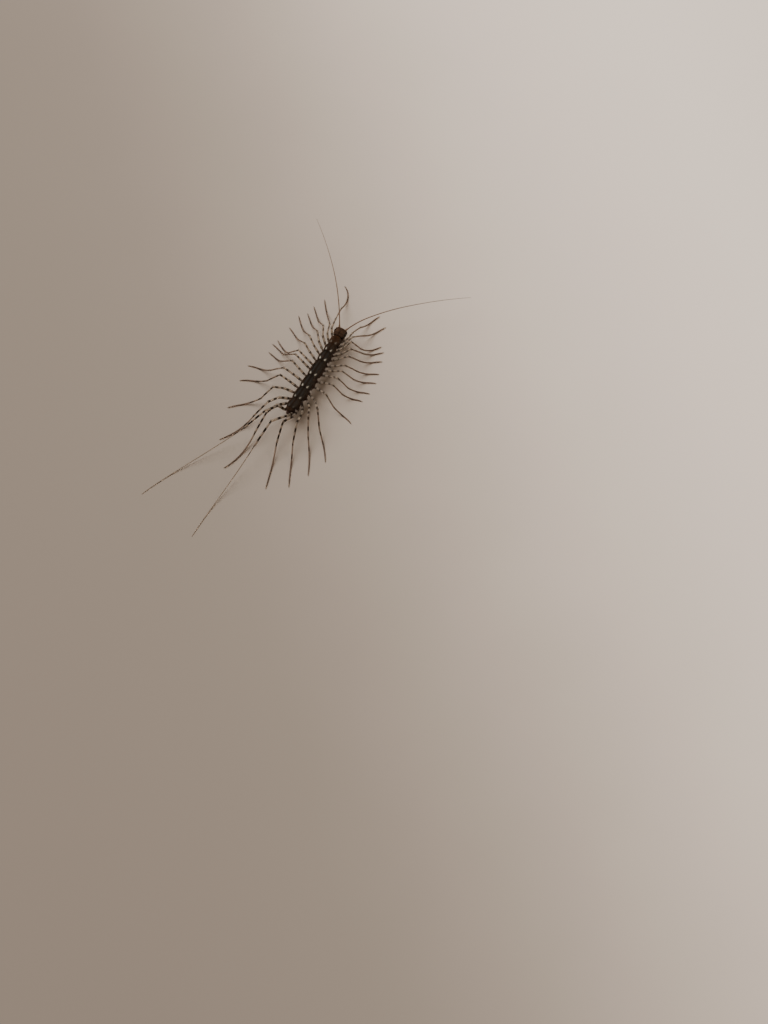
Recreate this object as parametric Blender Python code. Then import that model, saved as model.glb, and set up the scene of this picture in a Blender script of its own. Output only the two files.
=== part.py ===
# House centipede, life size, standing still on the floor with its fifteen pairs of legs spread.
# All sizes here are millimetres along the animal's own axes: +X to its right, +Y ahead, +Z up,
# with y = 0 at the front of the head, x = 0 at the middle of the trunk and z = 0 at the floor.
# The meshes are written in metres, and the finished animal is set with its middle over the origin.
import math

import bmesh
import bpy
from mathutils import Matrix, Vector

MM = 0.001
GAP = 0.3                     # air left between two pieces that meet

# Trunk
BODY_LENGTH = 33.5
BODY_WIDTH = 3.55
# Width of the trunk where two plates meet, at distances behind the front of the head
WIDTHS = ((3, 2.8), (5, 2.95), (8, 3.1), (11, 3.35), (15, 3.55), (25, 3.5), (29, 3.25),
          (31.4, 2.75), (32.2, 2.1), (33.5, 1.2))
PLATE_BULGE = 0.16            # how far the middle of a plate swells out on each side
BOW = 0.65                    # how far the tail bends towards the left
AXIS_Z = 4.5                  # height of the widest line of the trunk
BACK_RISE = 1.55              # from the widest line up to the back
BELLY_DROP = 1.45             # and down to the belly
PLATE_LIFT = 0.15             # how far a plate's rear edge stands proud
LOBE = 0.3                    # depth of the two lobes of a plate's rear edge
SKIRT = 0.7                   # how far a plate reaches back past its own flank
PLATE_EDGE = -5.0             # degrees below the widest line where the plates end
PLATE_LENGTHS = (2.6, 2.7, 3.4, 5.6, 4.5, 3.9, 3.2)
LEGS_UNDER_PLATE = (1, 2, 2, 3, 2, 2, 2)
TAIL_LENGTH = 2.1

# Head and its parts
HEAD_LENGTH = 3.1
HEAD_WIDTH = 4.05
HEAD_BOTTOM_Z = 3.9
HEAD_TOP_Z = 5.95
EYE_CENTRE = (1.62, -1.55, 4.95)
EYE_SIZE = (0.5, 0.75, 0.6)
FEELER_ROOT = (0.95, -0.5, 5.0)
FEELER_LENGTHS = {-1: 39.0, 1: 41.5}
FEELER_RADIUS = 0.34
FEELER_TAPER = ((0, 0.3), (30, 0.25), (40, 0.22), (44, 0.12))

# Legs
HIP_Z = 3.65
HIP_RADIUS = 0.46
HIP_STUB = 0.3                # how far the hip stands out of the flank
HIP_INSET = 0.2               # how far the hip sits in from the edge of the plates
HIP_SPACING = 1.65            # least distance between two hips of one side
FOOT_SINK = 0.85              # height of a resting foot's middle, in its radii
# Degrees by which the thigh points further ahead, and the femur further back, than the two
# together; the other legs' follow from their pose
SPLAYS = {(-1, 14): -8.0, (-1, 15): -15.0, (1, 14): -17.0, (1, 15): -10.0}
LAST_FOOT = {-1: 39.5, 1: 31.5}
# Legs that are longer or shorter than the others of their pair, as legs grown anew are
REACHES = {(-1, 1): 1.08, (-1, 3): 1.04, (-1, 5): 1.06, (-1, 9): 0.95, (-1, 10): 1.04,
           (-1, 11): 0.96, (-1, 12): 0.96, (-1, 15): 0.95, (1, 1): 0.86, (1, 3): 0.96,
           (1, 8): 0.96, (1, 9): 0.9, (1, 10): 0.88, (1, 11): 1.04, (1, 12): 1.03,
           (1, 13): 1.02, (1, 14): 0.97, (1, 15): 1.05}
# Thickness at marks along thigh, femur and shin, in each one's own radius
SWELLINGS = (
    ((0.3, 1.08), (0.85, 0.95), (1.0, 1.05)),
    ((0.2, 0.9), (0.85, 0.95), (1.0, 1.1)),
    ((0.15, 0.92), (0.9, 0.95), (1.0, 1.1)),
)

# Plan directions of knee, shin, heel and toe of each leg from the first to the last pair,
# in degrees ahead of straight out, as the living animal has put them down.
LEFT_POSE = (
    (73, 78, 86, 24), (65, 49, 49, 54), (53, 32, 47, 42), (43, 33, 42, 43), (29, 28, 42, 47),
    (24, 23, 33, 23), (10, -17, 24, 34), (10, -5, 22, 12), (13, -6, 14, 14), (0, -20, -1, -21),
    (0, -35, -12, -37), (-25, -57, -36, -46), (-50, -60, -68, -50), (-66, -80, -87, -60),
    (-50, -62, -57, -69),
)
RIGHT_POSE = (
    (60, 85, 75, 65), (55, 62, 64, 60), (52, 14, 46, 56), (40, 35, 44, 42), (30, 30, 45, 30),
    (20, 25, 35, 25), (15, 10, 35, 20), (5, 0, 29, 14), (5, -1, 24, 9), (-14, -21, -1, -26),
    (-37, -56, -45, -60), (-53, -63, -57, -68), (-70, -76, -67, -63), (-98, -84, -73, -75),
    (-110, -98, -98, -90),
)
POSES = {-1: LEFT_POSE, 1: RIGHT_POSE}

# Turn of each feeler at distances along it, and how it rises and sinks
LEFT_FEELER = ((0, 62), (8, 55), (20, 47), (44, 38))
RIGHT_FEELER = ((0, 58), (8, 46), (20, 43), (44, 38))
FEELER_TURNS = {-1: LEFT_FEELER, 1: RIGHT_FEELER}
FEELER_RISES = ((0, 24), (8, 13), (20, 0), (44, -10))

PAIRS = len(LEFT_POSE)
FLANK_RING = (192, 212, 240, 262, 278, 300, 328, 348)
FINISHES = {
    "plate": ("#1d1a1c", 0.3),
    "head": ("#2b1a15", 0.3),
    "eye": ("#0a0809", 0.12),
    "claw": ("#5a3222", 0.3),
    "feeler": ("#8a6a55", 0.5),
    "leg": ("#b3a08b", 0.45),
}


# Small helpers

def blend(a, b, t):
    return a + (b - a) * t


def along(points, distance):
    # the place a given distance along a chain of (distance, value) pairs
    for (start, low), (end, high) in zip(points, points[1:]):
        if distance <= end:
            return blend(low, high, (distance - start) / (end - start))
    return points[-1][1]


def heading(side, degrees, rise=0.0):
    # unit direction: degrees ahead of straight out on one side, then tilted up
    turn = math.radians(degrees)
    lift = math.radians(rise)
    flat = math.cos(lift)
    return Vector((side * flat * math.cos(turn), flat * math.sin(turn), math.sin(lift)))


def linear(hex_colour):
    values = [int(hex_colour[k:k + 2], 16) / 255 for k in (1, 3, 5)]
    return [v / 12.92 if v <= 0.04045 else ((v + 0.055) / 1.055) ** 2.4 for v in values]


def finish(name, kind):
    colour, roughness = FINISHES[kind]
    material = bpy.data.materials.new(name)
    material.use_nodes = True
    shader = material.node_tree.nodes["Principled BSDF"]
    shader.inputs["Base Color"].default_value = (*linear(colour), 1.0)
    shader.inputs["Roughness"].default_value = roughness
    shader.inputs["Metallic"].default_value = 0.0
    return material


def add_piece(name, shell, root, kind, parent):
    # turns a bmesh in millimetres into an object whose origin is the piece's root
    bmesh.ops.recalc_face_normals(shell, faces=shell.faces)
    shell.transform(Matrix.Translation(-Vector(root)))
    shell.transform(Matrix.Scale(MM, 4))
    mesh = bpy.data.meshes.new(name)
    shell.to_mesh(mesh)
    shell.free()
    mesh.shade_smooth()
    mesh.set_sharp_from_angle(angle=math.radians(50))
    piece = bpy.data.objects.new(name, mesh)
    piece.location = Vector(root) * MM
    piece.parent = parent
    mesh.materials.append(finish(name + "_finish", kind))
    bpy.context.scene.collection.objects.link(piece)
    return piece


def loft(rings, cap_centres):
    # a closed skin over rings of points, each end closed by a fan to its own centre
    shell = bmesh.new()
    rows = [[shell.verts.new(point) for point in ring] for ring in rings]
    count = len(rows[0])
    for row, after in zip(rows, rows[1:]):
        for k in range(count):
            m = (k + 1) % count
            shell.faces.new((row[k], row[m], after[m], after[k]))
    for row, centre in ((rows[0], cap_centres[0]), (rows[-1], cap_centres[1])):
        hub = shell.verts.new(centre)
        for k in range(count):
            shell.faces.new((row[k], row[(k + 1) % count], hub))
    return shell


def tube(points, radii, sides=8, floor=None, tip=0.15):
    # a round rod along a line, one flat side down, cut level where it meets the floor;
    # its first end is flat across the line and its last end comes to a blunt point
    points = [Vector(p) for p in points]
    rings = []
    for k, point in enumerate(points):
        before = points[max(k - 1, 0)]
        after = points[min(k + 1, len(points) - 1)]
        onward = (after - before).normalized()
        across = onward.cross(Vector((0, 0, 1))).normalized()
        up = across.cross(onward)
        ring = []
        for m in range(sides):
            turn = 2 * math.pi * (m + 0.5) / sides
            corner = point + radii[k] * (math.cos(turn) * across + math.sin(turn) * up)
            if floor is not None:
                corner.z = max(corner.z, floor)
            ring.append(corner)
        rings.append(ring)
    last = points[-1] + (points[-1] - points[-2]).normalized() * tip
    return loft(rings, (points[0], last))


def ball(centre, size, columns=16, rows=9):
    shell = bmesh.new()
    bmesh.ops.create_uvsphere(shell, u_segments=columns, v_segments=rows, radius=1.0)
    stretch = Matrix.Diagonal((*size, 1.0))
    shell.transform(Matrix.Translation(Vector(centre)) @ stretch)
    return shell


def rod(points, ways, radius, sides=8):
    # a round rod through a few points, each of its rings square to its own given direction
    rings = []
    for point, way in zip(points, ways):
        across = way.cross(Vector((0, 0, 1))).normalized()
        up = across.cross(way)
        ring = []
        for m in range(sides):
            turn = 2 * math.pi * (m + 0.5) / sides
            ring.append(point + radius * (math.cos(turn) * across + math.sin(turn) * up))
        rings.append(ring)
    return loft(rings, (points[0], points[-1]))


def combine(core, others, operation):
    # joins or cuts closed skins with one Boolean and keeps the largest closed body;
    # the exact solver leaves folded edges where hips, plates and cups meet, this one none
    def temporary(shell, label):
        bmesh.ops.recalc_face_normals(shell, faces=shell.faces)
        mesh = bpy.data.meshes.new(label)
        shell.to_mesh(mesh)
        shell.free()
        thing = bpy.data.objects.new(label, mesh)
        return thing

    base = temporary(core, "core")
    bpy.context.scene.collection.objects.link(base)
    group = bpy.data.collections.new("tools")
    bpy.context.scene.collection.children.link(group)
    for shell in others:
        group.objects.link(temporary(shell, "tool"))
    modifier = base.modifiers.new("Combine", "BOOLEAN")
    modifier.operation = operation
    modifier.operand_type = "COLLECTION"
    modifier.collection = group
    modifier.solver = "MANIFOLD"
    bpy.context.view_layer.update()
    joined = bpy.data.meshes.new_from_object(
        base.evaluated_get(bpy.context.evaluated_depsgraph_get()))
    result = bmesh.new()
    result.from_mesh(joined)
    for thing in list(group.objects):
        bpy.data.objects.remove(thing)
    bpy.data.collections.remove(group)
    bpy.data.objects.remove(base)
    keep_largest(result)
    return without_slivers(result)


def without_slivers(shell):
    # closes up the hair-thin faces a Boolean leaves, as long as the skin stays whole
    for size in (0.03, 0.02, 0.01):
        trial = shell.copy()
        bmesh.ops.triangulate(trial, faces=trial.faces[:])
        for _ in range(4):
            bmesh.ops.remove_doubles(trial, verts=trial.verts[:], dist=size)
            bmesh.ops.dissolve_degenerate(trial, edges=trial.edges[:], dist=0.5 * size)
            bmesh.ops.triangulate(trial, faces=trial.faces[:])
        whole = all(len(edge.link_faces) == 2 for edge in trial.edges)
        folds = len(trial.faces) - len({frozenset(face.verts) for face in trial.faces})
        if whole and not folds:
            shell.free()
            return trial
        trial.free()
    return shell


def keep_largest(shell):
    islands = []
    seen = set()
    for start in shell.faces:
        if start in seen:
            continue
        island = [start]
        seen.add(start)
        for face in island:
            for edge in face.edges:
                for other in edge.link_faces:
                    if other not in seen:
                        seen.add(other)
                        island.append(other)
        islands.append(island)
    islands.sort(key=len)
    for island in islands[:-1]:
        bmesh.ops.delete(shell, geom=island, context="FACES")
    loose = [v for v in shell.verts if not v.link_faces]
    bmesh.ops.delete(shell, geom=loose, context="VERTS")


# Trunk

def midline(y):
    # straight in front, bent towards the left behind
    t = max(0.0, -y / (0.5 * BODY_LENGTH) - 1)
    return -BOW * t ** 3


def girth(y):
    # share of the full thickness that the trunk has at y
    return along(WIDTHS, max(-y, WIDTHS[0][0])) / BODY_WIDTH


def body_point(y, degrees, lift, bulge=0.0):
    # a point on the trunk's skin, in the section at y
    c = math.cos(math.radians(degrees))
    s = math.sin(math.radians(degrees))
    size = girth(y)
    half = 0.5 * BODY_WIDTH * size + lift + bulge
    rise = (BACK_RISE if s > 0 else BELLY_DROP) * size + lift
    return Vector((
        midline(y) + half * math.copysign(abs(c) ** 0.85, c),
        y,
        AXIS_Z + rise * math.copysign(abs(s) ** 0.95, s),
    ))


def edge_shift(degrees):
    # how far a segment's front and rear edges are set ahead of their straight line
    c = math.cos(math.radians(degrees))
    s = math.sin(math.radians(degrees))
    if s > math.sin(math.radians(PLATE_EDGE)) - 0.01:
        return -LOBE * math.sin(math.pi * abs(c))
    return SKIRT * min(1.0, -s / 0.45)


def segment(front, length, open_front, open_rear):
    # one length of the trunk: its plate stands proud, higher towards its rear edge
    plate_angles = [PLATE_EDGE + k * (180 - 2 * PLATE_EDGE) / 12 for k in range(13)]
    angles = plate_angles + list(FLANK_RING)
    stations = ((0.0, 0.0), (0.15, 0.35), (0.55, 0.7), (0.88, 1.0), (1.0, 0.9))
    rings = []
    for share, lift in stations:
        bend = blend(open_front, open_rear, share)
        ring = []
        for k, degrees in enumerate(angles):
            y = front - share * length + bend * edge_shift(degrees)
            if k < len(plate_angles):
                bulge = PLATE_BULGE * math.sin(math.pi * share)
                ring.append(body_point(y, degrees, PLATE_LIFT * lift, bulge))
            else:
                ring.append(body_point(y, degrees, 0.0))
        rings.append(ring)
    centres = []
    for y, bend in ((front, open_front), (front - length, open_rear)):
        y += bend * 0.5 * SKIRT
        centres.append(Vector((midline(y), y, AXIS_Z - 0.4)))
    return loft(rings, centres)


def plate_fronts():
    # where each plate starts, from the neck to the tail
    front = -HEAD_LENGTH - GAP
    fronts = []
    for length in PLATE_LENGTHS:
        fronts.append(front)
        front -= length + GAP
    fronts.append(front)
    return fronts


def hip_places():
    # y of each hip, spaced evenly under its own plate
    places = []
    for front, length, count in zip(plate_fronts(), PLATE_LENGTHS, LEGS_UNDER_PLATE):
        spacing = max(HIP_SPACING, 0.9 * length / count)
        middle = front - 0.5 * length + SKIRT
        for k in range(count):
            places.append(middle + spacing * (0.5 * (count - 1) - k))
    places.append(plate_fronts()[-1] - 0.1)
    return places


def hip_axis(pair, side):
    # the hips look a little ahead or back, the way their legs go
    turn = -70.0 if pair == PAIRS else max(-55.0, min(35.0, 0.6 * POSES[side][pair - 1][0]))
    return heading(side, turn, 12.0)


def hip_end(pair, side):
    # middle of the flat end of a hip
    y = hip_places()[pair - 1]
    half = 0.5 * BODY_WIDTH * girth(y)
    flank = Vector((midline(y) + side * (half - HIP_INSET), y, HIP_Z))
    return flank + HIP_STUB * hip_axis(pair, side)


def hip_stub(pair, side):
    # it comes straight out of the flank and then leans with its leg
    end = hip_end(pair, side)
    axis = hip_axis(pair, side)
    flank = end - HIP_STUB * axis
    inner = Vector((midline(flank.y) + side * 0.3, flank.y, flank.z))
    out = heading(side, 0.0)
    return rod((inner, flank - 0.1 * out, end), (out, out, axis), HIP_RADIUS)


def build_trunk(parent):
    fronts = plate_fronts()
    pair = 1
    for k, (front, length) in enumerate(zip(fronts, PLATE_LENGTHS)):
        core = segment(front, length, 0.0 if k == 0 else 1.0, 1.0)
        stubs = []
        for _ in range(LEGS_UNDER_PLATE[k]):
            stubs += [hip_stub(pair, -1), hip_stub(pair, 1)]
            pair += 1
        if k == 0:
            stubs += [claw_stub(-1), claw_stub(1)]
        shell = combine(core, stubs, "UNION")
        root = (midline(front), front, AXIS_Z)
        add_piece("trunk_%d" % (k + 1), shell, root, "plate", parent)
    build_tail(fronts[-1], parent)


def build_tail(front, parent):
    # the small last plate and the blunt tail piece behind it
    core = segment(front, 0.75 * TAIL_LENGTH, 1.0, 0.0)
    middle = midline(front)
    end = ball((middle, front - 0.62 * TAIL_LENGTH, AXIS_Z - 0.4),
               (0.42, 0.4 * TAIL_LENGTH, 0.45), 12, 7)
    shell = combine(core, [hip_stub(PAIRS, -1), hip_stub(PAIRS, 1), end], "UNION")
    add_piece("tail", shell, (middle, front, AXIS_Z), "plate", parent)


# Head

def head_middle():
    return midline(-0.5 * HEAD_LENGTH)


def on_head(side, place):
    x, y, z = place
    return Vector((head_middle() + side * x, y, z))


def head_core():
    # broad low capsule, blunt in front and cut flat at the neck
    stations = (0.0, 0.05, 0.16, 0.32, 0.5, 0.68, 0.86, 1.0)
    widths = (0.56, 0.76, 0.91, 0.99, 1.0, 0.96, 0.9, 0.8)
    tops = (0.46, 0.66, 0.85, 0.95, 1.0, 1.0, 0.97, 0.92)
    bottoms = (0.5, 0.68, 0.86, 0.96, 1.0, 1.0, 0.95, 0.88)
    split_z = 4.75
    rings = []
    for share, width, top, bottom in zip(stations, widths, tops, bottoms):
        y = -share * HEAD_LENGTH
        ring = []
        for k in range(20):
            turn = 2 * math.pi * k / 20
            c, s = math.cos(turn), math.sin(turn)
            height = (HEAD_TOP_Z - split_z) * top if s > 0 else (split_z - HEAD_BOTTOM_Z) * bottom
            ring.append(Vector((
                head_middle() + 0.5 * HEAD_WIDTH * width * math.copysign(abs(c) ** 0.8, c),
                y - 0.15 * c * c * (1 - share),
                split_z + height * math.copysign(abs(s) ** 0.9, s),
            )))
        rings.append(ring)
    middle = head_middle()
    return loft(rings, ((middle, 0.0, split_z), (middle, -HEAD_LENGTH, split_z)))


def feeler_axis(side):
    return heading(side, 62.0, 24.0)


def build_head(parent):
    # capsule with cups for the eyes, sockets for the feelers, and the mouth's jaws and lip
    sockets = [on_head(-1, EYE_CENTRE), on_head(1, EYE_CENTRE)]
    cups = [ball(place, [size + GAP for size in EYE_SIZE]) for place in sockets]
    shell = combine(head_core(), cups, "DIFFERENCE")
    parts = []
    for side in (-1, 1):
        root = on_head(side, FEELER_ROOT)
        axis = feeler_axis(side)
        parts.append(rod((root - 0.5 * axis, root + 0.45 * axis), (axis, axis), FEELER_RADIUS + 0.04))
        parts.append(ball(on_head(side, (0.34, -0.3, 4.12)), (0.38, 0.42, 0.34), 10, 6))
        hinge, way = palp_root(side)
        parts.append(rod((hinge - 0.6 * way, hinge), (way, way), 0.27))
    parts.append(ball(on_head(1, (0.0, -0.12, 4.42)), (0.55, 0.3, 0.26), 10, 6))
    shell = combine(shell, parts, "UNION")
    add_piece("head", shell, (head_middle(), -HEAD_LENGTH, AXIS_Z), "head", parent)
    for side, label in ((-1, "left"), (1, "right")):
        centre = on_head(side, EYE_CENTRE)
        add_piece("eye_" + label, ball(centre, EYE_SIZE, 16, 10), centre, "eye", parent)
        build_feeler(side, label, parent)
        build_palp(side, label, parent)
        build_claw(side, label, parent)


def build_feeler(side, label, parent):
    # a long whip that bends outward, rises a little and sinks again towards its end
    axis = feeler_axis(side)
    start = on_head(side, FEELER_ROOT) + (0.45 + GAP) * axis
    steps = 24
    points = [start]
    radii = [FEELER_RADIUS]
    for k in range(steps):
        done = FEELER_LENGTHS[side] * (k / steps) ** 1.15
        step = FEELER_LENGTHS[side] * ((k + 1) / steps) ** 1.15 - done
        turn = along(FEELER_TURNS[side], done)
        rise = along(FEELER_RISES, done)
        points.append(points[-1] + step * heading(side, turn, rise))
        radii.append(along(FEELER_TAPER, done))
    shell = tube(points, radii, 6)
    add_piece("antenna_" + label, shell, start, "feeler", parent)


def palp_root(side):
    return on_head(side, (0.85, -1.1, 3.8)), heading(side, 70.0, -25.0)


def build_palp(side, label, parent):
    # the leg-like mouth feeler, folded forward under the front of the head
    hinge, way = palp_root(side)
    start = hinge + GAP * way
    bends = ((62, -12, 0.45), (85, 0, 0.5), (112, -8, 0.5), (135, -25, 0.4))
    points = [start, start + 0.2 * way]
    radii = [0.26, 0.27]
    for turn, rise, length in bends:
        points.append(points[-1] + length * heading(side, turn, rise))
        radii.append(radii[-1] - 0.02)
    add_piece("palp_" + label, tube(points, radii, 8), start, "claw", parent)


def claw_root(side):
    return on_head(side, (1.0, -3.62, 3.3)), heading(side, 72.0, -14.0)


def claw_stub(side):
    hinge, way = claw_root(side)
    return rod((hinge - 0.75 * way, hinge), (way, way), 0.42)


def build_claw(side, label, parent):
    # the poison claw: it runs forward under the head and hooks inward to a sharp tip
    hinge, way = claw_root(side)
    start = hinge + GAP * way
    bends = ((74, -8, 0.7, 0.42), (88, 0, 0.7, 0.4), (104, 2, 0.6, 0.33),
             (122, 2, 0.45, 0.25), (140, 0, 0.4, 0.17), (158, -4, 0.3, 0.09))
    points = [start, start + 0.15 * way]
    radii = [0.36, 0.42]
    for turn, rise, length, radius in bends:
        points.append(points[-1] + length * heading(side, turn, rise))
        radii.append(radius)
    add_piece("forcipule_" + label, tube(points, radii, 8, tip=0.12), start, "claw", parent)


# Legs

def leg_sizes(pair, side):
    # lengths and radii of thigh, femur, shin and foot: the legs grow towards the tail
    back = (max(0, pair - 3) / (PAIRS - 4)) ** 3
    tail = max(0.0, (pair - 9.5) / 4.5)
    front = max(0.0, (3 - pair) / 2)
    if pair == PAIRS:
        lengths = (4.2, 5.4, 8.6, LAST_FOOT[side])
        radii = (0.46, 0.4, 0.33, 0.27)
    else:
        lengths = (
            3.0 + 1.4 * back - 0.6 * front,
            3.1 + 0.9 * back - 0.4 * front,
            5.0 + 2.4 * back + 1.0 * front,
            7.5 + 8.4 * tail + 2.7 * front,
        )
        stout = 1.0 + 0.08 * back
        radii = (0.45 * stout, 0.4 * stout, 0.33 * stout, 0.27)
    reach = REACHES.get((side, pair), 1.0)
    return [length * reach for length in lengths], radii


def leg_heights(pair):
    # heights of the thigh's end, the knee and the ankle
    if pair == PAIRS:
        return 7.4, 9.6, 6.4
    tail = max(0.0, (pair - 11) / 3)
    under_feeler = 0.6 if pair == 1 else 0.0
    return 5.7 + 0.7 * tail - under_feeler, 6.8 + 0.5 * tail - under_feeler, 3.2 - 0.3 * tail


def leg_line(pair, side):
    # middle line and radius of one leg, from its hip to its claw
    pose = POSES[side][pair - 1]
    lengths, radii = leg_sizes(pair, side)
    heights = leg_heights(pair)
    axis = hip_axis(pair, side)
    start = hip_end(pair, side) + GAP * axis
    joint = start + 0.4 * axis
    points = [start, joint]
    sizes = [0.8 * radii[0], 0.9 * radii[0]]
    splay = SPLAYS.get((side, pair), max(-15.0, min(15.0, 0.2 * pose[0])))
    directions = (pose[0] - splay, pose[0] + splay, pose[1])
    for k, (turn, height, marks) in enumerate(zip(directions, heights, SWELLINGS)):
        rise = height - joint.z
        reach = math.sqrt(lengths[k] ** 2 - rise ** 2)
        flat = heading(side, turn)
        end = Vector((joint.x + reach * flat.x, joint.y + reach * flat.y, height))
        for share, swell in marks:
            points.append(joint.lerp(end, share))
            sizes.append(radii[k] * swell)
        joint = end
    steps = 8 if pair < PAIRS else 14
    down = 0.62 if pair < PAIRS else 0.8
    rest = FOOT_SINK * radii[3]
    for k in range(steps):
        share = (k + 1) / steps
        turn = blend(pose[2], pose[3], ((k + 0.5) / steps) ** 2)
        reach = lengths[3] * (0.93 if pair < PAIRS else 0.99) / steps
        flat = heading(side, turn)
        height = rest + (heights[2] - rest) * max(0.0, 1 - share / down) ** 2
        thin = blend(1.0, 0.93, share) if share < 1 else 0.5
        joint = Vector((joint.x + reach * flat.x, joint.y + reach * flat.y, height))
        points.append(joint)
        sizes.append(radii[3] * thin)
    return points, sizes


def build_legs(parent):
    for side, label in ((-1, "left"), (1, "right")):
        for pair in range(1, PAIRS + 1):
            points, sizes = leg_line(pair, side)
            shell = tube(points, sizes, 8, floor=0.0)
            add_piece("leg_%s_%02d" % (label, pair), shell, points[0], "leg", parent)


def centre_over_origin(parent):
    corners = []
    for piece in parent.children:
        corners += [piece.location + vertex.co for vertex in piece.data.vertices]
    low = [min(c[k] for c in corners) for k in range(3)]
    high = [max(c[k] for c in corners) for k in range(3)]
    parent.location = (-(low[0] + high[0]) / 2, -(low[1] + high[1]) / 2, -low[2])


def main():
    for thing in list(bpy.data.objects):
        bpy.data.objects.remove(thing)
    centipede = bpy.data.objects.new("centipede", None)
    bpy.context.scene.collection.objects.link(centipede)
    build_head(centipede)
    build_trunk(centipede)
    build_legs(centipede)
    centre_over_origin(centipede)


main()
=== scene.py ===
import math

import bpy
import numpy as np
from mathutils import Matrix, Vector


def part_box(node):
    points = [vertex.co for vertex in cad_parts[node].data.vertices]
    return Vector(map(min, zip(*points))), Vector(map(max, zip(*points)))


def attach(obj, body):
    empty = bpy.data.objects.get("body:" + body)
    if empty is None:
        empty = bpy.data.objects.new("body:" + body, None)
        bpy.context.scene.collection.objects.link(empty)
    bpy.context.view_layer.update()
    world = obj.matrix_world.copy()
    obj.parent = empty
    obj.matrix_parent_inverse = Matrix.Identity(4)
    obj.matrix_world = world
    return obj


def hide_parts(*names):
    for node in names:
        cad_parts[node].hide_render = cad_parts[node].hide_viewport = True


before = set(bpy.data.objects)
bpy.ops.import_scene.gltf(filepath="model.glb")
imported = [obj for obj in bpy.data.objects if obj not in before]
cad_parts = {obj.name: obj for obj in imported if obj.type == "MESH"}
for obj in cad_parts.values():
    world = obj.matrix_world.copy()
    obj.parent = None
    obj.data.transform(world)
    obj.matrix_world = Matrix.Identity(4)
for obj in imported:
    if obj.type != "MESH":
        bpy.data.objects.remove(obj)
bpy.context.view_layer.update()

# House centipede, life size. Shapes are worked out in millimetres along the animal's own axes:
# x to its right, y ahead from the front of the head, z up from the floor.
mm = 0.001
dice = np.random.default_rng(15)
bothSides = ((-1, "left"), (1, "right"))

trunk = {
    "length": 33.5,
    # width where two plates meet, at distances behind the front of the head
    "widths": ((3, 2.8), (5, 2.95), (8, 3.1), (11, 3.35), (15, 3.55), (25, 3.5), (29, 3.25),
               (31.4, 2.75), (32.2, 2.1), (33.5, 1.2)),
    "fullWidth": 3.55,
    "bulge": 0.16,         # how far the middle of a plate swells out on each side
    "bow": 0.65,           # how far the tail bends to the left
    "axisZ": 4.5,
    "backRise": 1.55,
    "bellyDrop": 1.45,
    "roundness": (0.85, 0.95),     # of the section, across and upright; 1 is an ellipse
    "plateLengths": (2.6, 2.7, 3.4, 5.6, 4.5, 3.9, 3.2),
    "legsUnderPlate": (1, 2, 2, 3, 2, 2, 2),
    "plateGap": 0.3,
    "skirt": 0.7,
    "hipSpacing": 1.65,
    "hipZ": 3.65,
    "hipStub": 0.3,
    "hipInset": 0.2,
    "headLength": 3.1,
}


# Small helpers

def curveThrough(stops, t):
    # smooth value at t through (place, value) stops, without overshoot
    xs, ys = np.transpose(stops).astype(float)
    slopes = np.diff(ys) / np.diff(xs)
    tangents = np.concatenate([slopes[:1], np.zeros(len(slopes) - 1), slopes[-1:]])
    for k in range(1, len(slopes)):
        a, b = slopes[k - 1], slopes[k]
        tangents[k] = 2 * a * b / (a + b) if a * b > 0 else 0.0
    t = np.clip(t, xs[0], xs[-1])
    k = np.clip(np.searchsorted(xs, t, side="right") - 1, 0, len(slopes) - 1)
    h = xs[k + 1] - xs[k]
    u = (t - xs[k]) / h
    low, high = ys[k], ys[k + 1]
    return ((2 * u ** 3 - 3 * u ** 2 + 1) * low + (u ** 3 - 2 * u ** 2 + u) * h * tangents[k]
            + (3 * u ** 2 - 2 * u ** 3) * high + (u ** 3 - u ** 2) * h * tangents[k + 1])


def stopsAt(stops, place):
    # straight runs through (place, value) stops
    return np.interp(place, *np.transpose(stops))


def step(low, high, value):
    t = np.clip((value - low) / (high - low), 0.0, 1.0)
    return t * t * (3 - 2 * t)


def bell(value, middle, half):
    return np.exp(-((value - middle) / half) ** 2)


def heading(side, degrees, rise=0.0):
    # degrees ahead of straight out on one side, then tilted up
    turn, lift = math.radians(degrees), math.radians(rise)
    return np.array([side * math.cos(lift) * math.cos(turn),
                     math.cos(lift) * math.sin(turn), math.sin(lift)])


def unit(v):
    return v / np.linalg.norm(v, axis=-1, keepdims=True)


def middleOf(node):
    low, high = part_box(node)
    return (np.array(low) + np.array(high)) / 2 / mm


def midlineAt(y):
    # straight in front, bent to the left behind
    return -trunk["bow"] * np.maximum(0.0, -y / (trunk["length"] / 2) - 1) ** 3


def girthAt(y):
    return curveThrough(trunk["widths"], -y) / trunk["fullWidth"]


headMiddle = float(midlineAt(-trunk["headLength"] / 2))
eyeCentre = np.array([1.62, -1.55, 4.95])
eyeMiddle = (middleOf("eye_left") + middleOf("eye_right")) / 2
# from the animal's own millimetres to the frame
ownOffset = eyeMiddle - np.array([headMiddle, eyeCentre[1], eyeCentre[2]])


def toFrame(points):
    return (np.asarray(points, float) + ownOffset) * mm


def addObject(name, data):
    thing = bpy.data.objects.new(name, data)
    bpy.context.scene.collection.objects.link(thing)
    return thing


# Colours and materials

def linear(hexColour):
    values = [int(hexColour[k:k + 2], 16) / 255 for k in (1, 3, 5)]
    return [v / 12.92 if v <= 0.04045 else ((v + 0.055) / 1.055) ** 2.4 for v in values] + [1.0]


def feed(node, socket, source):
    # joins another node's output, given as (node, output), to a socket
    node.id_data.links.new(source[0].outputs[source[1]], node.inputs[socket])


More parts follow.
